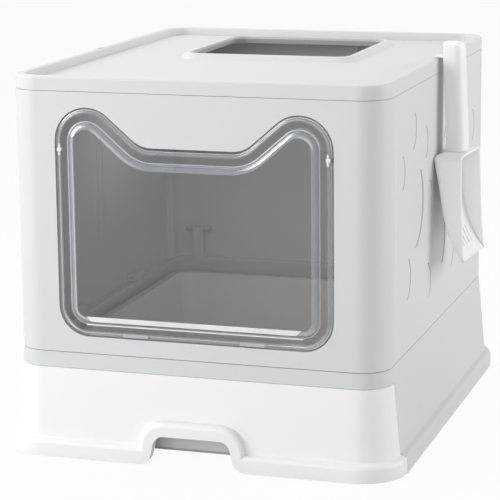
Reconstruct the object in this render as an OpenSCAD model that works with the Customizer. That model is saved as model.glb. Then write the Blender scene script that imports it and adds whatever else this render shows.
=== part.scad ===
// Top entry litter box: a folding cabin over a base with a pull-out litter drawer.
// Millimetres. +Z is up, the front is towards -Y, and the origin is on the floor
// under the middle of the body.

/* [Body] */
// Width over the two side panels
body_w = 380; // [360:5:420]
// Depth from the front panel to the back panel
body_d = 470; // [440:5:520]
// Height of the lid's rim above the floor
body_h = 380; // [340:2:420]
// Radius of the upright corners
corner_r = 30; // [28:1:34]
// Wall thickness of the panels, the base and the lid
wall = 3; // [2.6:0.1:3.4]
// Gap at the seams between stacked pieces
seam = 0.4; // [0.3:0.05:0.6]
// How far each corner of the front and back panels reaches round the side
wrap = 2; // [1:0.5:6]

/* [Base and drawer] */
// Height of the base's rim, where the panels stand
base_h = 105.5; // [100:0.5:108]
// How far the skirt stands out from the body
skirt_out = 15; // [13:0.5:18]
// Height of the skirt's upright band
skirt_h = 13; // [10:0.5:16]
// How far the walls have flared where they meet the skirt
flare = 8; // [5:0.5:9]
// Clearance between the drawer's apron and the ground
apron_lift = 1; // [0.6:0.2:2]
// Height of the base's strip over the drawer
header_h = 15.3; // [12:0.5:20]
// Width of the ledge inside the base's rim
ledge_w = 12; // [10:0.5:13]
// Height of the base's floor plate above the ground
floor_z = 3; // [2.5:0.5:6]
// Height of the rails that the drawer slides on
rail_h = 3; // [2:0.5:4]
// Thickness of the tray's walls
tray_wall = 2.5; // [2:0.1:3]
// Draft of the tray's walls, from the floor to its rim
tray_draft = 10; // [6:1:12]
// Half the width of the finger notch
notch_half = 41.5; // [34:0.5:50]
// Height of the finger notch
notch_h = 31; // [28:1:34]
// Width of the raised border round the finger notch
notch_border = 14; // [10:1:18]

/* [Front window and flap door] */
// Width of the front panel beside the window
win_side = 50; // [46:1:60]
// Height of the window's bottom edge
win_lo = 123.4; // [121:0.5:135]
// Height of the front panel above the window's two ears
win_above = 15.5; // [14:0.5:24]
// Depth of the dip between the ears
dip_drop = 38; // [32:1:44]
// Radius of the window's lower corners
win_r = 30; // [20:1:36]
// Radius of the ears
ear_r = 33; // [28:1:38]
// Slope of the ears' inner sides, in degrees
ear_slope = 41; // [38:1:45]
// Gap round the flap door
door_gap = 1.4; // [1:0.1:2]
// Extra gap at the dip, where the flap turns
dip_gap = 1.4; // [1.4:0.1:2.5]
// Thickness of the clear flap door
door_t = 2.4; // [2:0.1:2.8]
// How far the door's middle stands proud of its border
door_proud = 4.5; // [3:0.5:6]
// Width of the door's flat border
door_border = 14; // [10:1:18]

/* [Hinges] */
// Radius of the hinge pins
pin_r = 2; // [1.6:0.1:2.2]
// Radial clearance of each pin in its bore
pin_fit = 0.08; // [0.05:0.01:0.1]
// Radius of the hinge knuckles
knuckle_r = 4.2; // [4:0.1:4.4]
// Width of each hinge ear on the base
ear_w = 12; // [8:1:16]
// Width of each knuckle on a panel
knuckle_w = 8; // [6:1:12]
// Distance of the hinges from the middle of each side panel
side_hinge_y = 85; // [60:5:140]
// Distance of the front and back panels' hinges from the body's sides
end_hinge_in = 35; // [32:1:36]
// Height of the left panel's hinge axis above the base's rim
left_hinge_up = 5.5; // [5:0.5:6]
// Height that each further panel needs to fold over the one before
fold_step = 7; // [6.5:0.5:9]

/* [Lid and scoop] */
// Height of the lid's outer side
lid_h = 14.1; // [12:0.5:18]
// Width of the lid's raised rim
rim_w = 9; // [8:0.5:11]
// Depth of the lid's sunk field below its rim
field_drop = 8.5; // [6:0.5:9]
// Half the width of the top entry
entry_half = 88; // [80:1:100]
// Length of the top entry, front to back
entry_d = 172; // [150:2:190]
// Distance of the top entry's front edge behind the middle
entry_y = 6; // [0:1:20]
// Height of the raised lip round the top entry
lip_h = 5.5; // [3:0.5:7]
// Width of the lip round the top entry
lip_w = 4.5; // [3:0.5:6]
// Length of the hook slot in each side rim
slot_len = 14; // [12:1:20]
// Width of the scoop's handle
handle_w = 27; // [24:1:34]
// Depth of the scoop's handle
handle_d = 18; // [16:1:22]
// Height of the handle above the lid's rim
handle_up = 17; // [12:1:26]
// Width of the scoop's bowl
bowl_w = 72; // [60:1:84]
// Length of the scoop's bowl
bowl_l = 112; // [100:2:130]
// Depth of the scoop's bowl at its top
bowl_d = 28; // [22:1:32]
// Wall thickness of the scoop
scoop_wall = 2.2; // [1.8:0.1:2.8]
// Height from the bowl's top to the lid's rim
hook_to_bowl = 95; // [85:1:110]
// Lean of the handle away from the panel, in degrees
scoop_lean = 3; // [2:0.5:5]
// Spacing of the slots in the scoop's floor
slot_pitch = 9; // [7:0.5:10]

/* [Hidden] */
$fn = 64;

base_grey = [0.82, 0.84, 0.83];
panel_grey = [0.86, 0.87, 0.88];
drawer_white = [0.95, 0.95, 0.95];
scoop_white = [0.93, 0.92, 0.90];
clear_grey = [0.62, 0.64, 0.66, 0.4];
pin_grey = [0.78, 0.79, 0.80];

half_w = body_w / 2;
half_d = body_d / 2;
// Centres of the upright corners: every profile is measured outwards from them
centre_x = half_w - corner_r;
centre_y = half_d - corner_r;
// The front and back panels end here, and the side panels begin one seam further on
wrap_y = centre_y - wrap;
side_half = wrap_y - 1.5 * seam;
end_hinge_x = half_w - end_hinge_in;

panel_lo = base_h + 1.5 * seam;
panel_hi = body_h - lid_h - seam;
skirt_r = corner_r + skirt_out;
shoulder_z = skirt_h + 6;
bead_r = 5;
arch_r = 11.5;
notch_draft = 1.5;
arch_x = notch_half - notch_draft - arch_r;
arch_z = notch_h - arch_r;
notch_end_r = 14;
header_z = base_h - header_h;
drawer_top = header_z - seam;
ledge_t = 3.5;
floor_t = 2.5;
tray_z = floor_z + floor_t + rail_h + 0.3;
tray_top = drawer_top - 3.2;
tray_r = ledge_w + 6;
tray_lip = 6;
pad_r = 11;

hinge_in = wall + 1 + knuckle_r - 0.2;
left_axis_z = base_h + left_hinge_up;
right_axis_z = left_axis_z + fold_step;
front_axis_z = right_axis_z + 2 * fold_step - 1;
back_axis_z = front_axis_z + fold_step;
knuckle_gap = 0.4;
pin_len = ear_w + 2 * (knuckle_gap + knuckle_w) + 3;

win_half = half_w - win_side;
win_hi = panel_hi - win_above;
dip_z = win_hi - dip_drop;
door_pivot_y = -half_d + 2.8;
door_pivot_z = dip_z - wall;
door_front = -half_d - 0.6;
door_back = door_front + door_t;

field_z = body_h - field_drop;
rim_skin = 2.7;
clip_x = 30;
clip_w = 24;
clip_t = 2.4;
clip_drop = 8;
slot_w = rim_w - 2 * rim_skin - 0.4;
slot_x = half_w - rim_w / 2;
hook_t = 2;
hook_rise = 0.3;
hook_drop = 11;
slot_fit = 1;
slot_share = 0.25;

// How far the wall stands out from the corner centres at a height on the flared base
function flared(z) = corner_r + flare * (base_h - z) / (base_h - shoulder_z);

function arc(cx, cy, r, a, b, n = 8) =
    [for (i = [0:n]) [cx + r * cos(a + (b - a) * i / n), cy + r * sin(a + (b - a) * i / n)]];

function mirrored(points) =
    concat(points, [for (i = [len(points) - 1:-1:0]) [-points[i][0], points[i][1]]]);

// ---- Sweeps: each carries a 2D profile (out, up) along a part of the body's plan ----

module along_side(side, y0, y1) {
    translate([side * centre_x, y1, 0])
        mirror([side < 0 ? 1 : 0, 0, 0])
            rotate([90, 0, 0])
                linear_extrude(y1 - y0) children();
}

module along_end(end, x0, x1) {
    translate([end < 0 ? x1 : x0, end * centre_y, 0])
        rotate([90, 0, end * 90])
            linear_extrude(x1 - x0) children();
}

module round_corner(side, end) {
    translate([side * centre_x, end * centre_y, 0])
        rotate([0, 0, end > 0 ? (side > 0 ? 0 : 90) : (side > 0 ? 270 : 180)])
            rotate_extrude(angle = 90) children();
}

module all_round() {
    for (s = [-1, 1]) {
        along_side(s, -centre_y, centre_y) children();
        along_end(s, -centre_x, centre_x) children();
        for (t = [-1, 1]) round_corner(s, t) children();
    }
}

// The front or back third of the plan: one end, both its corners and the short wraps
module end_shell(end) {
    along_end(end, -centre_x, centre_x) children();
    for (s = [-1, 1]) {
        round_corner(s, end) children();
        along_side(s, min(end * centre_y, end * wrap_y), max(end * centre_y, end * wrap_y))
            children();
    }
}

// A plate filled inside the plan, reaching out past the corner centres by r
module plan_plate(r, z, t) {
    translate([0, 0, z]) linear_extrude(t) {
        square([2 * (centre_x + r), 2 * centre_y], center = true);
        square([2 * centre_x, 2 * (centre_y + r)], center = true);
        for (s = [-1, 1], e = [-1, 1]) translate([s * centre_x, e * centre_y]) circle(r);
    }
}

// A 2D shape (across, up) as an upright plate between two depths
module upright(y_front, y_back) {
    translate([0, y_back, 0]) rotate([90, 0, 0]) linear_extrude(y_back - y_front) children();
}

module rod_y(x, y, z, r, len) {
    translate([x, y + len / 2, z]) rotate([90, 0, 0]) cylinder(r = r, h = len);
}

module rod_x(x, y, z, r, len) {
    translate([x - len / 2, y, z]) rotate([0, 90, 0]) cylinder(r = r, h = len);
}

// ---- Base frame ----

// The flared wall from a height down to the skirt, with a rounded bead on the skirt
module flared_wall(top, bottom) {
    polygon(concat(
        [[flared(top) - wall, top], [flared(top), top], [flared(shoulder_z), shoulder_z]],
        arc(skirt_r - bead_r, skirt_h, bead_r, 90, 0, 5),
        [[skirt_r, bottom], [skirt_r - wall, bottom], [skirt_r - wall, skirt_h - 1],
         [flared(shoulder_z) - wall, shoulder_z - wall]]));
}

module header_strip() {
    polygon([[flared(header_z) - wall, header_z], [flared(header_z), header_z],
             [corner_r, base_h], [corner_r - wall, base_h]]);
}

module side_ear(side, y, axis_z) {
    x = side * (half_w - hinge_in);
    translate([x - knuckle_r, y - ear_w / 2, base_h - ledge_t])
        cube([2 * knuckle_r, ear_w, axis_z - base_h + ledge_t]);
    rod_y(x, y, axis_z, knuckle_r, ear_w);
}

module end_ear(end, x, axis_z) {
    y = end * (half_d - hinge_in);
    translate([x - ear_w / 2, y - knuckle_r, base_h - ledge_t])
        cube([ear_w, 2 * knuckle_r, axis_z - base_h + ledge_t]);
    rod_x(x, y, axis_z, knuckle_r, ear_w);
}

module base_frame() color(base_grey) difference() {
    union() {
        // Flared walls and skirt on the sides and the back
        end_shell(1) flared_wall(base_h, 0);
        for (s = [-1, 1])
            along_side(s, -wrap_y + 1.5 * seam, wrap_y) flared_wall(base_h, 0);
        // Strip over the drawer, and the ledge that the panels stand on
        end_shell(-1) header_strip();
        for (s = [-1, 1])
            along_side(s, -wrap_y, -wrap_y + 1.5 * seam) header_strip();
        all_round() translate([corner_r - ledge_w, base_h - ledge_t])
            square([ledge_w - wall / 2, ledge_t]);
        // Floor plate with a sill and two rails under the drawer
        intersection() {
            plan_plate(skirt_r - wall / 2, floor_z, floor_t);
            translate([-body_w, -wrap_y, 0]) cube([2 * body_w, body_d, body_h]);
        }
        translate([-centre_x, -wrap_y, floor_z])
            cube([2 * centre_x, wall, floor_t + rail_h]);
        for (s = [-1, 1])
            translate([s * centre_x * 0.8 - 4, -wrap_y, floor_z])
                cube([8, wrap_y + centre_y, floor_t + rail_h]);
        // Pads that the floor plate stands on
        cylinder(r = pad_r, h = floor_z + floor_t / 2);
        for (s = [-1, 1], e = [-1, 1])
            translate([s * (centre_x - 10), e * (centre_y - 15), 0])
                cylinder(r = pad_r, h = floor_z + floor_t / 2);
        for (y = [-side_hinge_y, side_hinge_y]) {
            side_ear(-1, y, left_axis_z);
            side_ear(1, y, right_axis_z);
        }
        for (x = [-end_hinge_x, end_hinge_x]) {
            end_ear(-1, x, front_axis_z);
            end_ear(1, x, back_axis_z);
        }
    }
    for (y = [-side_hinge_y, side_hinge_y]) {
        rod_y(-(half_w - hinge_in), y, left_axis_z, pin_r + pin_fit, ear_w + 2);
        rod_y(half_w - hinge_in, y, right_axis_z, pin_r + pin_fit, ear_w + 2);
    }
    for (x = [-end_hinge_x, end_hinge_x]) {
        rod_x(x, -(half_d - hinge_in), front_axis_z, pin_r + pin_fit, ear_w + 2);
        rod_x(x, half_d - hinge_in, back_axis_z, pin_r + pin_fit, ear_w + 2);
    }
}

// The two pins of a side panel, and of the front or back panel
module side_pins(side, axis_z) color(pin_grey)
    for (y = [-side_hinge_y, side_hinge_y])
        rod_y(side * (half_w - hinge_in), y, axis_z, pin_r, pin_len);

module end_pins(end, axis_z) color(pin_grey)
    for (x = [-end_hinge_x, end_hinge_x])
        rod_x(x, end * (half_d - hinge_in), axis_z, pin_r, pin_len);

module left_hinge_pins() side_pins(-1, left_axis_z);
module right_hinge_pins() side_pins(1, right_axis_z);
module front_hinge_pins() end_pins(-1, front_axis_z);
module back_hinge_pins() end_pins(1, back_axis_z);

// ---- Litter drawer ----

// Finger notch: an arch whose legs sweep outwards into the drawer's foot
module notch_shape() {
    end_x = notch_half + notch_end_r;
    end_z = apron_lift + notch_end_r;
    apart = sqrt(pow(end_x - arch_x, 2) + pow(arch_z - end_z, 2));
    join = acos((notch_end_r + arch_r) / apart) - atan2(arch_z - end_z, end_x - arch_x);
    polygon(mirrored(concat(
        [[end_x, -1]],
        arc(end_x, end_z, notch_end_r, 270, 180 + join, 6),
        arc(arch_x, arch_z, arch_r, join, 90, 6))));
}

// Section of the raised band round the notch, from the arch outwards
module band_section() {
    deep = flared(shoulder_z) - wall / 2;
    polygon(concat(
        [[arch_r - 0.5, deep - skirt_r], [arch_r - 0.5, 0]],
        arc(arch_r + notch_border - bead_r, -bead_r, bead_r, 90, 0, 5),
        [[arch_r + notch_border, deep - skirt_r]]));
}

module notch_band() {
    translate([0, -centre_y - skirt_r, arch_z]) {
        translate([-arch_x, 0, 0]) rotate([0, -90, 180])
            linear_extrude(2 * arch_x) band_section();
        for (s = [-1, 1]) mirror([s < 0 ? 1 : 0, 0, 0]) translate([arch_x, 0, 0]) {
            rotate([90, 0, 0]) rotate_extrude(angle = 90) band_section();
            rotate([180, 0, 0]) linear_extrude(arch_z - apron_lift) band_section();
        }
    }
}

module tray_wall_profile() {
    polygon([[tray_r - tray_draft - tray_wall, tray_z], [tray_r - tray_draft, tray_z],
             [tray_r, tray_top - tray_wall], [tray_r + tray_lip, tray_top - tray_wall],
             [tray_r + tray_lip, tray_top], [tray_r - tray_wall, tray_top]]);
}

module litter_drawer() color(drawer_white) difference() {
    union() {
        // Tray: flat bottom and four drafted walls with a lip
        plan_plate(tray_r - tray_draft - tray_wall / 2, tray_z, tray_wall);
        all_round() tray_wall_profile();
        // Front apron in line with the base's walls and skirt
        end_shell(-1) flared_wall(drawer_top, apron_lift);
        end_shell(-1) translate([tray_r, tray_top - tray_wall])
            square([flared(tray_top) - wall / 2 - tray_r, tray_wall]);
        notch_band();
        // Webs between the tray's front wall and the apron
        for (s = [-1, 1], x = [notch_half + notch_border + 12, centre_x - 8])
            translate([s * x - tray_wall / 2, -centre_y - flared(tray_top) + wall / 2, 40])
                cube([tray_wall, flared(tray_top) - tray_r + 4, tray_top - 41]);
    }
    upright(-half_d - skirt_out - 1, -centre_y - flared(notch_h) + wall + 3) notch_shape();
}

// ---- Panels ----

module panel_wall() {
    translate([corner_r - wall, panel_lo]) square([wall, panel_hi - panel_lo]);
}

// Two knuckles astride each ear of the base, for a panel at one side
module side_knuckles(side, y, axis_z) {
    x = side * (half_w - hinge_in);
    for (s = [-1, 1]) {
        ky = y + s * (ear_w + knuckle_w + 2 * knuckle_gap) / 2;
        rod_y(x, ky, axis_z, knuckle_r, knuckle_w);
        translate([min(x, side * (half_w - wall + 0.5)), ky - knuckle_w / 2, axis_z - knuckle_r])
            cube([hinge_in - wall + 0.5, knuckle_w, 2 * knuckle_r]);
    }
}

// The same for the front or back panel, whose knuckles snap on: open towards the inside
module end_hooks(end, x, axis_z) {
    y = end * (half_d - hinge_in);
    for (s = [-1, 1]) {
        hook_x = x + s * (ear_w + knuckle_w + 2 * knuckle_gap) / 2;
        rod_x(hook_x, y, axis_z, knuckle_r, knuckle_w);
        translate([hook_x - knuckle_w / 2, min(y, end * (half_d - wall + 0.5)), axis_z - knuckle_r])
            cube([knuckle_w, hinge_in - wall + 0.5, 2 * knuckle_r]);
    }
}

module hook_mouth(end, x, axis_z) {
    y = end * (half_d - hinge_in);
    for (s = [-1, 1]) {
        hook_x = x + s * (ear_w + knuckle_w + 2 * knuckle_gap) / 2;
        rod_x(hook_x, y, axis_z, pin_r + pin_fit, knuckle_w + knuckle_gap);
        translate([hook_x - (knuckle_w + knuckle_gap) / 2, end > 0 ? y - 2 * knuckle_r : y,
                   axis_z - pin_r - pin_fit])
            cube([knuckle_w + knuckle_gap, 2 * knuckle_r, 2 * (pin_r + pin_fit)]);
    }
}

// Wall of an end panel with the flanges that back its two wraps
module end_wall(end) {
    end_shell(end) panel_wall();
    for (s = [-1, 1])
        translate([s > 0 ? half_w - ledge_w : -half_w + wall / 2,
                   end > 0 ? wrap_y : -wrap_y - wall, panel_lo])
            cube([ledge_w - wall / 2, wall, panel_hi - panel_lo]);
}

// Outline of the window: rounded below, with an ear at each side above
function window_points(grow, dip) =
    let (ear_x = win_half - ear_r, ear_z = win_hi - ear_r, lean = 90 + ear_slope,
         touch_x = ear_x + ear_r * cos(lean), touch_z = ear_z + ear_r * sin(lean),
         dip_r = 30,
         dip_x = touch_x + (dip_r - (dip - grow + dip_r - touch_z) * sin(lean)) / cos(lean))
    mirrored(concat(
        arc(win_half - win_r, win_lo + win_r, win_r + grow, -90, 0),
        arc(ear_x, ear_z, ear_r + grow, 0, lean, 14),
        arc(dip_x, dip - grow + dip_r, dip_r - grow, lean - 180, -90, 6)));

module pivot_block(side) {
    block = knuckle_r + 0.8;
    translate([side > 0 ? win_half + 1 : -win_half - 10, -half_d + wall / 2, door_pivot_z - block])
        cube([9, door_pivot_y + block + half_d - wall / 2, 2 * block]);
}

module front_panel() color(panel_grey) difference() {
    union() {
        difference() {
            end_wall(-1);
            upright(-half_d - 1, -half_d + wall + 1)
                polygon(window_points(0.4, dip_z + dip_gap));
        }
        for (s = [-1, 1]) {
            pivot_block(s);
            end_hooks(-1, s * end_hinge_x, front_axis_z);
        }
    }
    for (s = [-1, 1]) {
        rod_x(s * (win_half + 3.5), door_pivot_y, door_pivot_z, pin_r + pin_fit, 8);
        hook_mouth(-1, s * end_hinge_x, front_axis_z);
    }
}

module back_panel() color(panel_grey) difference() {
    union() {
        end_wall(1);
        for (s = [-1, 1]) end_hooks(1, s * end_hinge_x, back_axis_z);
    }
    for (s = [-1, 1]) hook_mouth(1, s * end_hinge_x, back_axis_z);
}

// Sunk crescents: place along the panel, height above its foot, length and lean
crescents = [[-164, 181, 33, 0], [-118, 215, 36, -8], [-66, 197, 32, 0], [-96, 134, 76, -14],
             [-44, 138, 33, 5], [-50, 52, 36, 5], [-140, 72, 40, -6], [18, 206, 34, -6],
             [8, 92, 70, 10], [74, 176, 34, 8], [60, 62, 38, -8], [112, 118, 70, -10],
             [163, 181, 34, 0], [150, 60, 36, 6]];
crescent_in = 1.5;
field_y = side_half - 31;
field_foot = 32;
field_head = 18;
field_lo = panel_lo + field_foot;
field_hi = panel_hi - field_head;
groove_w = 1.4;
groove_y = 8;
groove_l = 0.72 * (panel_hi - panel_lo);

module crescent(len) {
    r = len * 0.62;
    bow = sqrt(r * r - len * len / 4);
    intersection() {
        difference() {
            translate([-bow, 0]) circle(r);
            translate([-bow - len * 0.09, 0]) circle(r * 1.01);
        }
        square([len, len * 1.02], center = true);
    }
}

module side_panel(side, axis_z) color(panel_grey) difference() {
    union() {
        along_side(side, -side_half, side_half) panel_wall();
        for (y = [-side_hinge_y, side_hinge_y]) side_knuckles(side, y, axis_z);
    }
    // Crescents sunk into the outside, kept clear of the panel's edges
    intersection() {
        for (c = crescents)
            translate([side * half_w, c[0], panel_lo + c[1]])
                rotate([c[3], 0, 0]) rotate([90, 0, 90])
                    linear_extrude(2 * crescent_in, center = true) crescent(c[2]);
        translate([-body_w, -field_y, field_lo])
            cube([2 * body_w, 2 * field_y, field_hi - field_lo]);
    }
    // Two upright grooves on the inside
    for (y = [-groove_y, groove_y])
        translate([side * (half_w - wall), y - 6, panel_hi - groove_l / 2])
            cube([groove_w, groove_w, groove_l], center = true);
    for (y = [-side_hinge_y, side_hinge_y])
        rod_y(side * (half_w - hinge_in), y, axis_z, pin_r + pin_fit, ear_w + 3 * knuckle_w);
}

module left_panel() side_panel(-1, left_axis_z);
module right_panel() side_panel(1, right_axis_z);

// ---- Flap door ----

door_turns = [0, 25, 50, 75, 90];

module flap_door() color(clear_grey) {
    inset = door_gap - 0.4;
    middle = door_border + door_proud;
    difference() {
        union() {
            upright(door_front, door_back) polygon(window_points(-inset, dip_z - inset));
            // The middle stands proud with a rounded edge
            for (a = door_turns)
                upright(door_front - door_proud * sin(a), door_back)
                    polygon(window_points(-middle + door_proud * cos(a),
                                          dip_z - middle + door_proud * cos(a)));
        }
        for (a = door_turns)
            upright(door_back - door_proud * sin(a), door_back + 1)
                polygon(window_points(-middle - door_t + door_proud * cos(a),
                                      dip_z - middle - door_t + door_proud * cos(a)));
    }
    for (s = [-1, 1]) {
        // Boss and stub pin that the door turns on
        rod_x(s * (win_half - inset - 3.2), door_pivot_y, door_pivot_z, pin_r + 1.4, 6);
        rod_x(s * (win_half + 2.2), door_pivot_y, door_pivot_z, pin_r, 8.6);
        // Finger tab on the lower edge
        translate([s * 60 - 13, door_front - 1.2, win_lo + inset + 0.4]) cube([26, 2, 4]);
    }
}

// ---- Lid ----

module lid_rim() {
    lo = panel_hi + seam;
    difference() {
        polygon(concat(
            [[corner_r - rim_w, field_z - rim_skin], [corner_r - wall, field_z - rim_skin],
             [corner_r - wall, lo], [corner_r, lo]],
            arc(corner_r - 3, body_h - 3, 3, 0, 90, 4),
            arc(corner_r - rim_w + 1.5, body_h - 1.5, 1.5, 90, 180, 3)));
        translate([corner_r - rim_w + rim_skin, lo - 1])
            square([rim_w - 2 * rim_skin, body_h - rim_skin - lo + 1]);
    }
}

module entry_shape(grow) {
    r = 14 + grow;
    half = entry_half + grow;
    translate([0, entry_y + entry_d / 2]) {
        square([2 * half, entry_d + 2 * (grow - r)], center = true);
        square([2 * (half - r), entry_d + 2 * grow], center = true);
        for (s = [-1, 1], e = [-1, 1])
            translate([s * (half - r), e * (entry_d / 2 + grow - r)]) circle(r);
    }
}

module lid() color(panel_grey) difference() {
    union() {
        all_round() lid_rim();
        plan_plate(corner_r - rim_w + 1, field_z - rim_skin, rim_skin);
        translate([0, 0, field_z - rim_skin]) linear_extrude(rim_skin + lip_h) entry_shape(lip_w);
    }
    translate([0, 0, field_z - 2 * rim_skin]) linear_extrude(4 * field_drop) entry_shape(0);
    for (s = [-1, 1])
        translate([s * slot_x - slot_w / 2, -slot_len / 2, body_h - 2 * rim_skin])
            cube([slot_w, slot_len, 4 * rim_skin]);
}

// Tongues moulded under the lid's rim, which hold it inside the front and back panels
module lid_clips() color(panel_grey)
    for (e = [-1, 1], x = [-clip_x, clip_x])
        translate([x - clip_w / 2, e > 0 ? half_d - wall - seam - clip_t : -half_d + wall + seam,
                   panel_hi - clip_drop])
            cube([clip_w, clip_t, body_h - rim_skin - panel_hi + clip_drop]);

// ---- Scoop ----

scoop_x = half_w + 0.8;
bowl_top = body_h - hook_to_bowl;
mouth_top = scoop_x + bowl_d;
tip_x = mouth_top + 3.5;
curve_n = 10;
slots_beside = 2;
slot_foot = 17;
floor_slot_l = 17;
handle_edge_r = 7;
handle_end_r = 9;

// The bowl's back and floor, from its top at t = 0 to its tip at t = 1, moved in by inset
function floor_point(t, inset) =
    let (across = 2 * (tip_x - scoop_x) * t, len = sqrt(bowl_l * bowl_l + across * across))
    [scoop_x + (tip_x - scoop_x) * t * t + inset * bowl_l / len,
     bowl_top - bowl_l * t + inset * across / len];

// Side view of the bowl, open towards +X; mouth carries the cut past its rim
module bowl_side(inset, mouth) {
    r = 8 - inset;
    top = bowl_top - inset;
    start = r + inset;
    first = floor_point(start / bowl_l, inset);
    polygon(concat(
        [[mouth_top + mouth, top]],
        arc(first[0] + r, top - r, r, 90, 180, 5),
        [for (i = [1:curve_n]) floor_point((start + (bowl_l - start) * i / curve_n) / bowl_l, inset)],
        [[tip_x + mouth, bowl_top - bowl_l + 1.2 * inset]]));
}

// Plan of the handle: a channel with rounded outer corners, open towards the box
module handle_section(inset) {
    r = handle_edge_r - inset;
    half = handle_w / 2 - inset;
    reach = inset > 0 ? 1 : 0;
    translate([-reach, -half]) square([handle_d - inset - r + reach, 2 * half]);
    translate([0, -half + r]) square([handle_d - inset, 2 * (half - r)]);
    for (s = [-1, 1]) translate([handle_d - inset - r, s * (half - r)]) circle(r);
}

// Side view of the handle, in its own leaning frame: rounded over at the top
module handle_side(inset) {
    r = handle_end_r - inset;
    translate([-5, -handle_l]) square([handle_d + 10, handle_l - r - inset]);
    translate([-5, -r - inset - 1]) square([handle_d + 5 - inset - r, r + 1]);
    translate([handle_d - inset - r, -r - inset]) circle(r);
}

handle_x = half_w + 3;
handle_l = (hook_to_bowl + handle_up + scoop_wall - 0.2) / cos(scoop_lean);

module handle_solid(inset) {
    translate([handle_x, 0, body_h + handle_up]) rotate([0, -scoop_lean, 0]) intersection() {
        translate([0, 0, -handle_l]) linear_extrude(handle_l) handle_section(inset);
        upright(-handle_w, handle_w) handle_side(inset);
    }
}

module scoop() color(scoop_white) {
    difference() {
        upright(-bowl_w / 2, bowl_w / 2) bowl_side(0, 0);
        upright(-bowl_w / 2 + scoop_wall, bowl_w / 2 - scoop_wall) bowl_side(scoop_wall, 9);
        // Short slots in the steep end of the floor
        for (i = [-slots_beside:slots_beside])
            translate([scoop_x + 8, (i - 0.5 * slot_share) * slot_pitch, bowl_top - bowl_l + slot_foot])
                cube([bowl_d, slot_share * slot_pitch, floor_slot_l]);
    }
    difference() {
        handle_solid(0);
        difference() {
            handle_solid(scoop_wall);
            translate([scoop_x, -handle_w, bowl_top - bowl_l])
                cube([2 * bowl_d, 2 * handle_w, bowl_l]);
        }
    }
    // Tab over the lid's rim, and the prong that drops into the rim's slot
    translate([slot_x - hook_t / 2, -slot_len / 2 + slot_fit, body_h + hook_rise])
        cube([handle_x + handle_d + handle_up * tan(scoop_lean) - scoop_wall / 2 - slot_x,
              slot_len - 2 * slot_fit, hook_t]);
    translate([slot_x - hook_t / 2, -slot_len / 2 + slot_fit, body_h - hook_drop])
        cube([hook_t, slot_len - 2 * slot_fit, hook_drop + 1]);
}

base_frame();
litter_drawer();
front_panel();
back_panel();
left_panel();
right_panel();
lid();
lid_clips();
flap_door();
scoop();
left_hinge_pins();
right_hinge_pins();
front_hinge_pins();
back_hinge_pins();
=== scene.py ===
import math

import bmesh
import bpy
from mathutils import Matrix, Vector


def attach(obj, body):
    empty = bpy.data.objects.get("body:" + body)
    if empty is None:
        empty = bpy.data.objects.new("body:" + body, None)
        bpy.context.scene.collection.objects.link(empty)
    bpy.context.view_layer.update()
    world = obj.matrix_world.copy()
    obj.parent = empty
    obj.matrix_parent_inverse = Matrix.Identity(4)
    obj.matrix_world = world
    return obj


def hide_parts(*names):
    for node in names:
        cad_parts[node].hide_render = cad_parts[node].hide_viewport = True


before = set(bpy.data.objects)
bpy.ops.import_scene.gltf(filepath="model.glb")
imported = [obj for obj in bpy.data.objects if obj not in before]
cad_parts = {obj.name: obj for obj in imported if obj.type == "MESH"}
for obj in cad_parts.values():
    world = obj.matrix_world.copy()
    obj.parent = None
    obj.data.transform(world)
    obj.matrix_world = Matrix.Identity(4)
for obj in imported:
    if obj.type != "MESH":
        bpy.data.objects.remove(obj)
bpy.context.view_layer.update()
MM = 0.001

# The viewpoint: a long lens from the front right, a little above the lid, tipped by half
# a degree as the photograph is. It looks at a point behind the middle of the flap door.
VIEW_AZIMUTH = math.radians(17.84)
VIEW_HEIGHT = math.radians(12.05)
VIEW_ROLL = math.radians(-0.57)
VIEW_TARGET = Vector((-0.01791, 0.0, 0.16696))
VIEW_DISTANCE = 2.19427
SENSOR_WIDTH = 36.0
LENS = 146.97
FAR_LIMIT = 50.0
back = Vector((math.sin(VIEW_AZIMUTH) * math.cos(VIEW_HEIGHT),
               -math.cos(VIEW_AZIMUTH) * math.cos(VIEW_HEIGHT),
               math.sin(VIEW_HEIGHT)))
side = Vector((math.cos(VIEW_AZIMUTH), math.sin(VIEW_AZIMUTH), 0.0))
above = back.cross(side)
right = side * math.cos(VIEW_ROLL) + above * math.sin(VIEW_ROLL)
upright = above * math.cos(VIEW_ROLL) - side * math.sin(VIEW_ROLL)
camera = bpy.data.objects.new("camera", bpy.data.cameras.new("camera"))
camera.data.sensor_width = SENSOR_WIDTH
camera.data.lens = LENS
camera.data.clip_end = FAR_LIMIT
camera.matrix_world = Matrix.Translation(VIEW_TARGET + back * VIEW_DISTANCE) @ Matrix(
    (right, upright, back)).transposed().to_4x4()
bpy.context.scene.collection.objects.link(camera)
bpy.context.scene.camera = camera
bpy.context.scene.view_settings.view_transform = "Standard"


# The studio: four large soft lights and an even surround. The key stands high at the left
# front, one light is nearly frontal, one at the right rear lights the side panel, and one
# hangs over the lid.
def soft_light(name, place, aim_height, width, power, colour):
    """A square area light, in watts, aimed at this height over the middle of the box."""
    lamp = bpy.data.lights.new(name, "AREA")
    lamp.shape = "SQUARE"
    lamp.size = width
    lamp.energy = power
    lamp.color = colour
    holder = bpy.data.objects.new(name, lamp)
    holder.location = place
    aim = Vector((0.0, 0.0, aim_height)) - Vector(place)
    holder.rotation_euler = aim.to_track_quat("-Z", "Y").to_euler()
    bpy.context.scene.collection.objects.link(holder)


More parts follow.
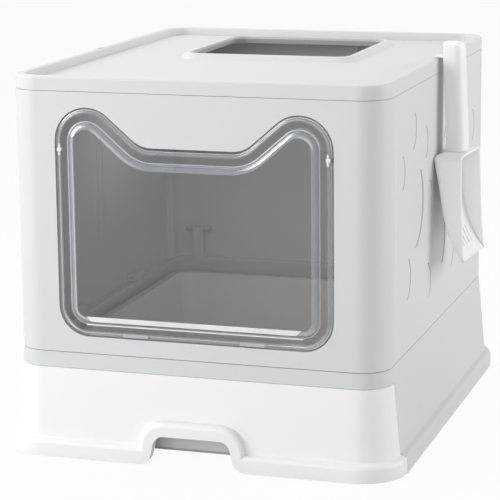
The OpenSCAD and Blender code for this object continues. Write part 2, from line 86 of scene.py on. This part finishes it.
soft_light("key_light", (-1.35, -1.0, 1.0), 0.2, 1.3, 23.0, (1.0, 0.995, 0.985))
soft_light("front_light", (0.25, -2.6, 0.6), 0.2, 1.8, 22.0, (1.0, 1.0, 1.0))
soft_light("side_light", (2.3, 0.7, 1.1), 0.2, 1.6, 36.0, (0.98, 0.99, 1.0))
soft_light("lid_light", (-0.6, 0.6, 2.0), 0.3, 1.6, 18.0, (1.0, 1.0, 1.0))


class Reading:
    """A number that varies over a surface: an output socket that arithmetic works on."""

    def __init__(self, finish, socket):
        self.finish = finish
        self.socket = socket

    def math(self, operation, other):
        node = self.finish.node("ShaderNodeMath", {"operation": operation}, {0: self, 1: other})
        return Reading(self.finish, node.outputs[0])

    def __add__(self, other):
        return self.math("ADD", other)

    def __mul__(self, other):
        return self.math("MULTIPLY", other)

    __radd__ = __add__
    __rmul__ = __mul__


class Finish:
    """The nodes of a material or of the surround, all added by one method."""

    def __init__(self, owner, output="ShaderNodeOutputMaterial"):
        owner.use_nodes = True
        self.owner = owner
        self.tree = owner.node_tree
        self.tree.nodes.clear()
        self.output = self.node(output, {}, {})

    def node(self, kind, settings, inputs):
        node = self.tree.nodes.new(kind)
        for key, value in settings.items():
            setattr(node, key, value)
        for key, value in inputs.items():
            if isinstance(value, Reading):
                value = value.socket
            if isinstance(value, bpy.types.NodeSocket):
                self.tree.links.new(value, node.inputs[key])
            else:
                node.inputs[key].default_value = value
        return node

    def surface(self, shader):
        self.tree.links.new(shader.outputs[0], self.output.inputs["Surface"])

    def seen(self):
        """One where the camera looks, straight, by a reflection or through clear plastic."""
        rays = self.node("ShaderNodeLightPath", {}, {}).outputs
        seen = Reading(self, rays["Is Camera Ray"])
        for ray in ("Is Glossy Ray", "Is Transmission Ray"):
            seen = seen.math("MAXIMUM", Reading(self, rays[ray]))
        return seen

    def noise(self, scale, detail, roughness, stretch=(1.0, 1.0, 1.0)):
        place = self.node("ShaderNodeTexCoord", {}, {}).outputs["Object"]
        if stretch != (1.0, 1.0, 1.0):
            place = self.node("ShaderNodeMapping", {}, {"Vector": place, "Scale": stretch}).outputs[0]
        cloud = self.node("ShaderNodeTexNoise", {},
                          {"Vector": place, "Scale": scale, "Detail": detail,
                           "Roughness": roughness})
        return Reading(self, cloud.outputs["Fac"])


# The surround looks plain white, and lights the object with a quarter of that, a touch cool
PLAIN_WHITE = (1.0, 1.0, 1.0, 1.0)
COOL_WHITE = (0.97, 0.985, 1.0, 1.0)
SURROUND = 0.25
air = Finish(bpy.data.worlds.new("surround"), "ShaderNodeOutputWorld")
air_light = air.node("ShaderNodeBackground", {}, {"Color": COOL_WHITE, "Strength": SURROUND})
air_white = air.node("ShaderNodeBackground", {}, {"Color": PLAIN_WHITE, "Strength": 1.0})
air.surface(air.node("ShaderNodeMixShader", {},
                     {0: air.seen(), 1: air_light.outputs[0], 2: air_white.outputs[0]}))
bpy.context.scene.world = air.owner


# The floor: a pale sheet just under the box's foot. The camera sees it nearly white, and
# its dimmer paint keeps the box's faint shadow.
FLOOR_REACH = 6.0
FLOOR_DROP = 0.5 * MM
FLOOR_WHITE = 0.95
FLOOR_PAINT = (0.62, 0.62, 0.62, 1.0)
shape = bmesh.new()
bmesh.ops.create_grid(shape, x_segments=1, y_segments=1, size=FLOOR_REACH)
bmesh.ops.translate(shape, verts=shape.verts, vec=(0.0, 0.0, -FLOOR_DROP))
floor_mesh = bpy.data.meshes.new("studio_floor")
shape.to_mesh(floor_mesh)
shape.free()
studio_floor = bpy.data.objects.new("studio_floor", floor_mesh)
bpy.context.scene.collection.objects.link(studio_floor)
ground = Finish(bpy.data.materials.new("pale_floor"))
ground_paint = ground.node("ShaderNodeBsdfDiffuse", {}, {"Color": FLOOR_PAINT})
ground_white = ground.node("ShaderNodeEmission", {}, {"Color": PLAIN_WHITE})
ground.surface(ground.node("ShaderNodeMixShader", {},
                           {0: ground.seen() * FLOOR_WHITE, 1: ground_paint.outputs[0],
                            2: ground_white.outputs[0]}))
floor_mesh.materials.append(ground.owner)


# The folding shell: front, back and two side panels. Each is one injection moulding of
# cool grey polypropylene with a fine spark-eroded grain. Hooks and knuckles at the foot
# turn on the base's pins, and the edges carry the small radius of the mould.
PANEL_EDGE = 0.5 * MM
SHARP_TURN = math.radians(32)
FLAT_TURN = math.radians(0.6)
MERGE_WITHIN = 0.02 * MM
FLAT_WEIGHT = 60
GRAIN_HEIGHT = 0.1 * MM
GLOW_DEPTH = 4 * MM
GLOW_SPREAD = (1.0, 0.96, 0.9)
SATIN_SHINE = 0.42


def moulded_plastic(name, colour, drift, gloss_grain, grain_strength, roughness, glow=0.0):
    """Satin plastic: flow marks shift its colour, and a spark-eroded grain breaks its gloss."""
    finish = Finish(bpy.data.materials.new(name))
    flow = finish.noise(scale=4.0, detail=3.0, roughness=0.55)
    streaks = finish.noise(scale=9.0, detail=2.0, roughness=0.5, stretch=(1.0, 1.0, 0.25))
    spark = finish.noise(scale=1400.0, detail=2.0, roughness=0.6)
    tone = finish.node("ShaderNodeMix", {"data_type": "RGBA"},
                       {"Factor": flow * 0.6 + streaks * 0.4, "A": (*colour, 1.0),
                        "B": (*[part * drift for part in colour], 1.0)})
    grain = finish.node("ShaderNodeBump", {}, {"Strength": grain_strength, "Distance": GRAIN_HEIGHT,
                                               "Height": spark})
    body = finish.node("ShaderNodeBsdfPrincipled", {},
                       {"Base Color": tone.outputs["Result"], "Normal": grain.outputs[0],
                        "Roughness": spark * gloss_grain + streaks * 0.04 + roughness})
    body.inputs["Specular IOR Level"].default_value = SATIN_SHINE
    body.inputs["Subsurface Weight"].default_value = glow
    body.inputs["Subsurface Radius"].default_value = GLOW_SPREAD
    body.inputs["Subsurface Scale"].default_value = GLOW_DEPTH
    finish.surface(body)
    return finish.owner


def piece_of(name, shape, materials):
    """A smooth-shaded object of this mesh. Its large faces keep their own normals, so only
    the rounded edges between them turn."""
    mesh = bpy.data.meshes.new(name)
    for face in shape.faces:
        face.smooth = True
    shape.to_mesh(mesh)
    shape.free()
    for material in materials:
        mesh.materials.append(material)
    piece = bpy.data.objects.new(name, mesh)
    bpy.context.scene.collection.objects.link(piece)
    weighting = piece.modifiers.new("flat_faces", "WEIGHTED_NORMAL")
    weighting.mode = "FACE_AREA"
    weighting.weight = FLAT_WEIGHT
    weighting.keep_sharp = False
    return piece


def round_edges(shape, radius, turn=SHARP_TURN):
    sharp = [edge for edge in shape.edges if edge.calc_face_angle(0.0) > turn]
    bmesh.ops.bevel(shape, geom=sharp, offset=radius, offset_type="OFFSET", segments=2,
                    profile=0.5, affect="EDGES", clamp_overlap=True, loop_slide=True, material=-1)


def merged_copy(node_name):
    """The CAD node's triangles, merged and joined into whole flat faces."""
    shape = bmesh.new()
    shape.from_mesh(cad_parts[node_name].data)
    bmesh.ops.remove_doubles(shape, verts=shape.verts, dist=MERGE_WITHIN)
    bmesh.ops.dissolve_limit(shape, angle_limit=FLAT_TURN, verts=shape.verts, edges=shape.edges,
                             use_dissolve_boundaries=False)
    return shape


def moulding(node_name, radius, material, body, shape=None):
    """A copy of a CAD node, or the shape given, with rounded edges, that stands for the node."""
    if shape is None:
        shape = merged_copy(node_name)
    round_edges(shape, radius)
    for face in shape.faces:
        face.material_index = 0
    piece = piece_of(node_name + "_moulding", shape, [material])
    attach(piece, body)
    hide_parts(node_name)


shell_grey = moulded_plastic("shell_grey", (0.69, 0.695, 0.705), drift=0.975, gloss_grain=0.12,
                             grain_strength=0.07, roughness=0.36)
for node_name, body in (("front_panel", "front"), ("back_panel", "back"),
                        ("left_panel", "left_side"), ("right_panel", "right_side")):
    moulding(node_name, PANEL_EDGE, shell_grey, body)

# The base: one grey moulding, flared walls down to a skirt with a rounded bead, the strip
# over the drawer, and the ledge with the hinge ears. It stands on its pads and skirt.
BASE_EDGE = 0.6 * MM
base_grey = moulded_plastic("base_grey", (0.668, 0.675, 0.682), drift=0.97, gloss_grain=0.12,
                            grain_strength=0.07, roughness=0.38)
moulding("base_frame", BASE_EDGE, base_grey, "base")

# The hinge pins: plain turned rods of hard plastic, two to a panel, pressed home through
# the base's ears. Their ends are just visible between the knuckles.
pin_grey = moulded_plastic("pin_grey", (0.56, 0.57, 0.58), drift=0.95, gloss_grain=0.08,
                           grain_strength=0.05, roughness=0.3)
for node_name in ("left_hinge_pins", "right_hinge_pins", "front_hinge_pins", "back_hinge_pins"):
    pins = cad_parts[node_name]
    pins.data.materials.clear()
    pins.data.materials.append(pin_grey)

# The litter drawer: one white moulding of apron and tray, with a raised band round the
# finger notch. It slides on the base's rails and its apron lines up with the skirt.
DRAWER_EDGE = 0.8 * MM
drawer_white = moulded_plastic("drawer_white", (0.9, 0.892, 0.883), drift=0.985, gloss_grain=0.1,
                               grain_strength=0.05, roughness=0.34)
moulding("litter_drawer", DRAWER_EDGE, drawer_white, "drawer")

# The lid: one grey moulding with a raised rim, a sunk field and the top entry's lip. Four
# tongues under its rim clip inside the front and back panels.
LID_EDGE = 0.7 * MM
FIELD_Z = 371.5
LID_SKIN = 2.7
LIP_TOP = 377.0
ENTRY_Y = 92.0
ENTRY_HALF = Vector((88.0, 86.0))
LIP_WIDTH = 4.5
LIP_FLANK = 5.0
UNDERCUT = 4.0
AT_LEVEL = 0.3
CUT_SNAP = 0.0001 * MM
shape = merged_copy("lid")


def entry_ring(height, grow):
    """Corners of the lid at this height on the entry's outline, grown by this much."""
    ring = []
    for corner in shape.verts:
        across = abs(corner.co.x / MM) - ENTRY_HALF.x
        along = abs(corner.co.y / MM - ENTRY_Y) - ENTRY_HALF.y
        level = abs(corner.co.z / MM - height) < AT_LEVEL
        if level and max(across, along) < grow + AT_LEVEL:
            ring.append(corner)
    return ring


def spread_ring(ring, grow, wider):
    """Widens a ring that was grown from the entry's outline."""
    bmesh.ops.scale(shape, verts=ring, space=Matrix.Translation((0.0, -ENTRY_Y * MM, 0.0)),
                    vec=(1 + wider / (ENTRY_HALF.x + grow), 1 + wider / (ENTRY_HALF.y + grow), 1.0))


# The lip's flank slopes out to the field, and its inner edge is thin with a hollow below
spread_ring(entry_ring(FIELD_Z, LIP_WIDTH), LIP_WIDTH, LIP_FLANK)
rim_edge = set(entry_ring(FIELD_Z - LID_SKIN, 0.0) + entry_ring(LIP_TOP, 0.0))
inner_wall = [face for face in shape.faces if rim_edge.issuperset(face.verts)]
wall_parts = inner_wall + list({edge for face in inner_wall for edge in face.edges})
bmesh.ops.bisect_plane(shape, geom=wall_parts + list(rim_edge), dist=CUT_SNAP,
                       plane_co=(0.0, 0.0, (LIP_TOP - LID_SKIN) * MM), plane_no=(0.0, 0.0, 1.0))
spread_ring(entry_ring(FIELD_Z - LID_SKIN, 0.0), 0.0, UNDERCUT)
moulding("lid", LID_EDGE, shell_grey, "top", shape)
moulding("lid_clips", PANEL_EDGE, shell_grey, "top")

# The flap door: one clear, lightly smoked moulding. A bead stiffens its edge, a crease
# runs round its border, and its middle is drawn forward. Two stub pins by the ears turn
# in the front panel, and two tabs close against the window's lower edge.
DOOR_FACE = -235.6
DOOR_WALL = 2.0 * MM
DOOR_EDGE_BACK = 0.8
PIVOT_X = 137.9
PIVOT_Y = -232.2
PIVOT_Z = 309.0
PIN_RADIUS, PIN_TIP_RADIUS, PIN_LENGTH = 2.0, 1.7, 8.6
UPRIGHT_FIN_X, FLAT_FIN_X = 135.2, 135.4
TAB_X, TAB_HALF, TAB_LOW, TAB_HIGH = 60.0, 13.0, 124.8, 128.6
RIB_HALF, UPPER_RIB_Z, LOWER_RIB_Z = 110.0, 142.0, 135.95
CLEAR_IOR = 1.49
POLISH = 0.04
# Rounded parts of the outline: centre across and up, radius, first angle and turn
DOOR_ARCS = [
    ((110.0, 153.4), 29.0, -90.0, 90.0), ((107.0, 317.0), 32.0, 0.0, 131.0),
    ((39.73, 342.0), 31.0, -49.0, -41.0), ((-39.73, 342.0), 31.0, -90.0, -41.0),
    ((-107.0, 317.0), 32.0, 49.0, 131.0), ((-110.0, 153.4), 29.0, 180.0, 90.0)]
ARC_STEP = 360 / 88
# The border's section from its edge inwards: how far each ring steps in and forward
EDGE_ROUND = [(0.25, 0.5), (0.25, 0.2), (0.3, 0.1)]
EDGE_FLAT = [(0.8, 0.0)]
BEAD = [(0.35, 0.5), (0.45, 0.45), (0.5, 0.25), (0.5, 0.05), (0.5, -0.05), (0.5, -0.25),
        (0.45, -0.45), (0.35, -0.5)]
BORDER_FLAT = [(1.2, 0.0), (4.1, 0.0), (1.4, 0.0)]
CREASE = [(0.35, 0.4), (0.35, 0.15), (0.35, -0.1)]
BEVEL = [(0.8, 1.1), (1.2, 1.2), (1.3, 0.9), (1.3, 0.5), (1.2, 0.25), (1.0, 0.05)]
CLEAR, EDGE_PAINTED_REFLECTION, PAINTED_HIGHLIGHT_HAZE, BEVEL_PAINTED_REFLECTION, PAINTED_GLINT = range(5)


def clear_plastic(name, tint, haze, haze_colour, gloss):
    """Tinted clear plastic with a share of haze that scuffs vary, and a polished skin. Strong light
    haze paints reflections and highlights into the colour.
    """
    finish = Finish(bpy.data.materials.new(name))
    scuff = finish.noise(scale=40.0, detail=3.0, roughness=0.6)
    through = finish.node("ShaderNodeBsdfTransparent", {}, {"Color": (*tint, 1.0)})
    mist = finish.node("ShaderNodeBsdfDiffuse", {}, {"Color": (*haze_colour, 1.0)})
    shine = finish.node("ShaderNodeBsdfGlossy", {}, {"Color": PLAIN_WHITE, "Roughness": POLISH})
    edge = finish.node("ShaderNodeFresnel", {}, {"IOR": CLEAR_IOR})
    body = finish.node("ShaderNodeMixShader", {},
                       {0: scuff * (haze * 0.4) + haze * 0.8, 1: through.outputs[0],
                        2: mist.outputs[0]})
    share = Reading(finish, edge.outputs[0]) * gloss
    finish.surface(finish.node("ShaderNodeMixShader", {},
                               {0: share, 1: body.outputs[0], 2: shine.outputs[0]}))
    return finish.owner


def arcs_outline(shape, arcs, depth):
    """A flat face whose outline is the arcs, joined by straight edges."""
    for (across, up), radius, first, turn in arcs:
        centre = Vector((across * MM, depth, up * MM))
        start = math.radians(first)
        point = shape.verts.new(centre + Vector((math.cos(start), 0.0, math.sin(start)))
                                * radius * MM)
        bmesh.ops.spin(shape, geom=[point], cent=centre, axis=(0.0, -1.0, 0.0), dvec=(0, 0, 0),
                       angle=math.radians(turn), steps=round(abs(turn) / ARC_STEP),
                       use_merge=False, use_normal_flip=False, use_duplicate=False)
    return shape.faces.new(shape.verts[:])


def step_in(shape, face, rings, slot):
    """Rings of faces round the sheet's middle, each stepping in and forward, of one finish."""
    for across, forward in rings:
        ring = bmesh.ops.inset_region(shape, faces=[face], thickness=across * MM,
                                      depth=forward * MM, use_boundary=True,
                                      use_even_offset=True)["faces"]
        for part in ring:
            part.material_index = slot


def block(shape, low, high, slot, radius, lean=0.0):
    """A small moulded detail between two corners in millimetres, its edges rounded. With a
    lean its foot is narrower than its head."""
    made = bmesh.ops.create_cube(shape, size=1.0)["verts"]
    centre = [(a + b) / 2 * MM for a, b in zip(low, high)]
    bmesh.ops.scale(shape, verts=made, vec=[(b - a) * MM for a, b in zip(low, high)])
    bmesh.ops.translate(shape, verts=made, vec=centre)
    for corner in made:
        if corner.co.z < centre[2]:
            corner.co.x -= math.copysign(lean * MM, corner.co.x - centre[0])
    faces = {face for corner in made for face in corner.link_faces}
    for face in faces:
        face.material_index = slot
    edges = list({edge for face in faces for edge in face.edges})
    bmesh.ops.bevel(shape, geom=edges, offset=radius * MM, offset_type="OFFSET", segments=2,
                    profile=0.5, affect="EDGES", clamp_overlap=True, material=-1)


# Name, tint, share of haze and its colour, and how strong the shine is
clear_finishes = [
    clear_plastic("clear_smoked", (0.93, 0.92, 0.91), 0.03, (0.7, 0.72, 0.75), 1.0),
    # The edge and bevel haze is painted reflection: a lighter, cool tone in place of the bright
    # surroundings that the curved clear plastic reflects and bends
    clear_plastic("clear_edge_painted_reflection", (0.86, 0.87, 0.89), 0.22, (0.68, 0.69, 0.73), 1.6),
    # The crease's light haze is a painted highlight, a bright line along the ridge; the finger tabs
    # carry it too
    clear_plastic("clear_painted_highlight", (0.9, 0.91, 0.93), 0.5, (0.78, 0.79, 0.84), 1.6),
    clear_plastic("clear_bevel_painted_reflection", (0.9, 0.91, 0.93), 0.26, (0.6, 0.62, 0.68), 1.4),
    # The glint is a painted highlight: a near-white haze on the ribs and pivot fins in place of a
    # lamp's reflection
    clear_plastic("clear_painted_glint", (1.0, 1.0, 1.0), 0.8, (0.95, 0.95, 0.95), 2.0)]

shape = bmesh.new()
sheet = arcs_outline(shape, DOOR_ARCS, (DOOR_FACE + DOOR_EDGE_BACK) * MM)
step_in(shape, sheet, EDGE_ROUND, EDGE_PAINTED_REFLECTION)
step_in(shape, sheet, EDGE_FLAT, CLEAR)
step_in(shape, sheet, BEAD, EDGE_PAINTED_REFLECTION)
step_in(shape, sheet, BORDER_FLAT, CLEAR)
step_in(shape, sheet, CREASE, PAINTED_HIGHLIGHT_HAZE)
step_in(shape, sheet, BEVEL, BEVEL_PAINTED_REFLECTION)
sheet.material_index = CLEAR
bmesh.ops.triangulate(shape, faces=[sheet], quad_method="BEAUTY", ngon_method="EAR_CLIP")
bmesh.ops.recalc_face_normals(shape, faces=shape.faces)
bmesh.ops.solidify(shape, geom=shape.faces[:], thickness=DOOR_WALL)
for hand in (-1, 1):
    # Stub pin, and the little cross of fins that carries it; the fins are hazed near white, a painted
    # glint
    pin = bmesh.ops.create_cone(shape, cap_ends=True, segments=24, radius1=PIN_RADIUS * MM,
                                radius2=PIN_TIP_RADIUS * MM, depth=PIN_LENGTH * MM)["verts"]
    bmesh.ops.rotate(shape, verts=pin, matrix=Matrix.Rotation(math.radians(90) * hand, 3, "Y"))
    bmesh.ops.translate(shape, verts=pin, vec=((PIVOT_X + PIN_LENGTH / 2) * hand * MM,
                                               PIVOT_Y * MM, PIVOT_Z * MM))
    block(shape, [hand * FLAT_FIN_X - 2.4, DOOR_FACE - 1.6, PIVOT_Z - 1.6],
          [hand * FLAT_FIN_X + 2.4, PIVOT_Y + 1.6, PIVOT_Z + 1.6], PAINTED_GLINT, 0.5)
    block(shape, [hand * UPRIGHT_FIN_X - 1.1, DOOR_FACE - 1.3, PIVOT_Z - 5.5],
          [hand * UPRIGHT_FIN_X + 1.1, DOOR_FACE + 1.0, PIVOT_Z + 5.5], PAINTED_GLINT, 0.4)
    # Finger tab on the lower edge, lightened by the painted highlight haze
    block(shape, [hand * TAB_X - TAB_HALF, DOOR_FACE - 1.0, TAB_LOW],
          [hand * TAB_X + TAB_HALF, DOOR_FACE + 1.0, TAB_HIGH], PAINTED_HIGHLIGHT_HAZE, 0.4)
# Two ribs along the foot of the raised middle, hazed near white: a painted highlight in place of a
# lamp's reflection on the lower bevel
block(shape, [-RIB_HALF, DOOR_FACE - 5.2, UPPER_RIB_Z - 2.6],
      [RIB_HALF, DOOR_FACE - 2.2, UPPER_RIB_Z + 2.6], PAINTED_GLINT, 0.8, 5.0)
block(shape, [-RIB_HALF - 1.0, DOOR_FACE - 1.9, LOWER_RIB_Z - 0.75],
      [RIB_HALF + 1.0, DOOR_FACE - 0.2, LOWER_RIB_Z + 0.75], PAINTED_GLINT, 0.3)
flap = piece_of("flap_door_clear", shape, clear_finishes)
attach(flap, "door")
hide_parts("flap_door")

# The scoop: one warm white moulding, a channel handle over a slotted bowl. A tab crosses
# the lid's rim, and a prong under it drops into the rim's slot, where it hangs a little
# turned, the bowl's near edge resting close to the side panel.
SLOT_X = 185.5
SCOOP_TURN = math.radians(-4.0)
SCOOP_OUT = 2.4
SCOOP_WALL = 2.2 * MM
# Bowl, from the box's side outwards: its back wall, its open mouth and the tip they meet at
BOWL_BACK = 190.4
BOWL_MOUTH = 220.0
MOUTH_LEAN = 4.5
FLOOR_LEAN, FLOOR_SWEEP, SWEEP_POWER = 16.0, 17.0, 5.0
BOWL_TOP = 285.0
BOWL_LENGTH = 109.5
BOWL_HALF = 36.0
BOWL_SPREAD = 0.1
BOWL_CORNER = 6.5
CORNER_STEPS = 6
SHOULDER = 7.0
SHOULDER_TURNS = (18, 36, 54, 72, 90)
SLOT_PITCH = 9.0
SLOT_HALF = 1.2
SLOTS_BESIDE = 2
SLOT_TOP, SLOT_FOOT = 203.0, 186.0
BOWL_LEVELS = (265, 255, 245, 235, 226, 217, 209, SLOT_TOP, 197, 191, SLOT_FOOT, 182, 179, 177)
HANDLE_TOP = 397.0
HANDLE_LOW = BOWL_TOP - 1.5
HANDLE_INNER = 193.0
HANDLE_DEPTH = 18.0
HANDLE_HALF = 13.5
HANDLE_LEAN = 5.0
HANDLE_ROUND = 7.5
FACING = 0.8
TAB_Z, TAB_WIDE, TAB_THICK = 381.35, 16.0, 1.9
PRONG_LOW, PRONG_HIGH, PRONG_WIDE, PRONG_THICK = 369.4, 381.0, 12.0, 2.0
DETAIL_EDGE = 0.35 * MM
DETAIL_TURN = math.radians(60)
OUT_FROM, OUT_OVER = 2.0, 6.0
scoop_white = moulded_plastic("scoop_white", (0.93, 0.92, 0.895), drift=0.98, gloss_grain=0.1,
                              grain_strength=0.05, roughness=0.34, glow=0.7)


def bowl_section(down):
    """Mouth, floor and half width of the bowl this far below its top wall."""
    along = down / BOWL_LENGTH
    mouth = BOWL_MOUTH + MOUTH_LEAN * along ** 2
    floor = BOWL_BACK + FLOOR_LEAN * along + FLOOR_SWEEP * along ** SWEEP_POWER
    inset = SHOULDER - math.sqrt(max(0.0, SHOULDER ** 2 - max(0.0, SHOULDER - down) ** 2))
    return mouth, floor + inset, BOWL_HALF * (1 + BOWL_SPREAD * along) - inset


# Bowl: the outline of its top wall is drawn once and extruded down in steps to the tip
shape = bmesh.new()
bars = [index * SLOT_PITCH + edge * SLOT_HALF for index in range(-SLOTS_BESIDE, SLOTS_BESIDE + 1)
        for edge in (-1, 1)]
corner_y = BOWL_HALF - BOWL_CORNER
places = [(BOWL_MOUTH, -BOWL_HALF)]
places += [(BOWL_BACK + BOWL_CORNER * (1 - math.sin(turn)), -corner_y - BOWL_CORNER * math.cos(turn))
           for turn in [math.radians(90 / CORNER_STEPS * step) for step in range(CORNER_STEPS + 1)]]
places += [(BOWL_BACK, y) for y in bars]
places += [(x, -y) for x, y in places[CORNER_STEPS + 1::-1]]
last = bowl_section(0.0)
outline = [shape.verts.new(((last[0] - (BOWL_MOUTH - x) * (last[0] - last[1])
                             / (BOWL_MOUTH - BOWL_BACK)) * MM,
                            y * last[2] / BOWL_HALF * MM, BOWL_TOP * MM)) for x, y in places]
top_wall = shape.faces.new(outline)
ring = [edge for edge in top_wall.edges if not {outline[0], outline[-1]} == set(edge.verts)]
levels = [SHOULDER * (1 - math.cos(math.radians(angle))) for angle in SHOULDER_TURNS]
levels += [BOWL_TOP - height for height in BOWL_LEVELS] + [BOWL_LENGTH]
slot_walls = []
for level in levels:
    made = bmesh.ops.extrude_edge_only(shape, edges=ring)["geom"]
    ring = [part for part in made if isinstance(part, bmesh.types.BMEdge)
            and all(corner in made for corner in part.verts)]
    here = bowl_section(level)
    for corner in [part for part in made if isinstance(part, bmesh.types.BMVert)]:
        share = (last[0] - corner.co.x / MM) / (last[0] - last[1])
        corner.co = ((here[0] - share * (here[0] - here[1])) * MM,
                     corner.co.y * here[2] / last[2], (BOWL_TOP - level) * MM)
    if SLOT_FOOT <= BOWL_TOP - level < SLOT_TOP:
        slot_walls += [part for part in made if isinstance(part, bmesh.types.BMFace)]
    last = here
# Slots near the tip: the back wall's strips between each slot's two sides are cut out
slot_faces = []
for part in slot_walls:
    spread = bowl_section(BOWL_TOP - part.calc_center_median().z / MM)[2] / BOWL_HALF
    place = part.calc_center_median().y / MM / spread / SLOT_PITCH
    if abs(place) < SLOTS_BESIDE + 0.5 and abs(place - round(place)) < SLOT_HALF / SLOT_PITCH:
        slot_faces.append(part)
bmesh.ops.delete(shape, geom=slot_faces, context="FACES")
bmesh.ops.recalc_face_normals(shape, faces=shape.faces)
bmesh.ops.solidify(shape, geom=shape.faces[:], thickness=SCOOP_WALL)

# Handle: a channel with rounded outer corners, open towards the box, over the bowl
bowl = set(shape.faces)
handle = bmesh.ops.create_cube(shape, size=1.0)["verts"]
bmesh.ops.scale(shape, verts=handle, vec=(HANDLE_DEPTH * MM, 2 * HANDLE_HALF * MM,
                                          (HANDLE_TOP - HANDLE_LOW) * MM))
bmesh.ops.translate(shape, verts=handle, vec=((HANDLE_INNER + HANDLE_DEPTH / 2) * MM, 0.0,
                                              (HANDLE_TOP + HANDLE_LOW) / 2 * MM))
foot = [corner for corner in handle if corner.co.z < (HANDLE_LOW + 1) * MM]
bmesh.ops.translate(shape, verts=foot, vec=(HANDLE_LEAN * MM, 0.0, 0.0))
walls = list({face for corner in handle for face in corner.link_faces})
for face in walls:
    face.normal_update()
open_sides = [face for face in walls if min(face.normal.x, face.normal.z) < -FACING]
bmesh.ops.delete(shape, geom=open_sides, context="FACES")
bends = [edge for edge in shape.edges
         if len(edge.link_faces) == 2 and not bowl.intersection(edge.link_faces)]
bmesh.ops.bevel(shape, geom=bends, offset=HANDLE_ROUND * MM, offset_type="OFFSET", segments=6,
                profile=0.5, affect="EDGES", clamp_overlap=True, material=-1)
walls = [face for face in shape.faces if face not in bowl]
bmesh.ops.solidify(shape, geom=walls, thickness=SCOOP_WALL)

# Tab over the rim, from inside the handle, and its prong in the rim's slot
block(shape, [SLOT_X - 2.4, -TAB_WIDE / 2, TAB_Z - TAB_THICK / 2],
      [HANDLE_INNER + HANDLE_DEPTH - 2.0, TAB_WIDE / 2, TAB_Z + TAB_THICK / 2], 0, 0.4)
block(shape, [SLOT_X - PRONG_THICK / 2, -PRONG_WIDE / 2, PRONG_LOW],
      [SLOT_X + PRONG_THICK / 2, PRONG_WIDE / 2, PRONG_HIGH], 0, 0.4)
round_edges(shape, DETAIL_EDGE, DETAIL_TURN)

# It hangs turned about its prong, and everything but the prong stands a little further out
bmesh.ops.rotate(shape, verts=shape.verts, cent=(SLOT_X * MM, 0.0, 0.0),
                 matrix=Matrix.Rotation(SCOOP_TURN, 3, "Z"))
for corner in shape.verts:
    share = (corner.co.x / MM - SLOT_X - OUT_FROM) / OUT_OVER
    corner.co.x += SCOOP_OUT * MM * min(1.0, max(0.0, share))
scoop = piece_of("scoop_moulding", shape, [scoop_white])
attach(scoop, "hanging_scoop")
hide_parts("scoop")
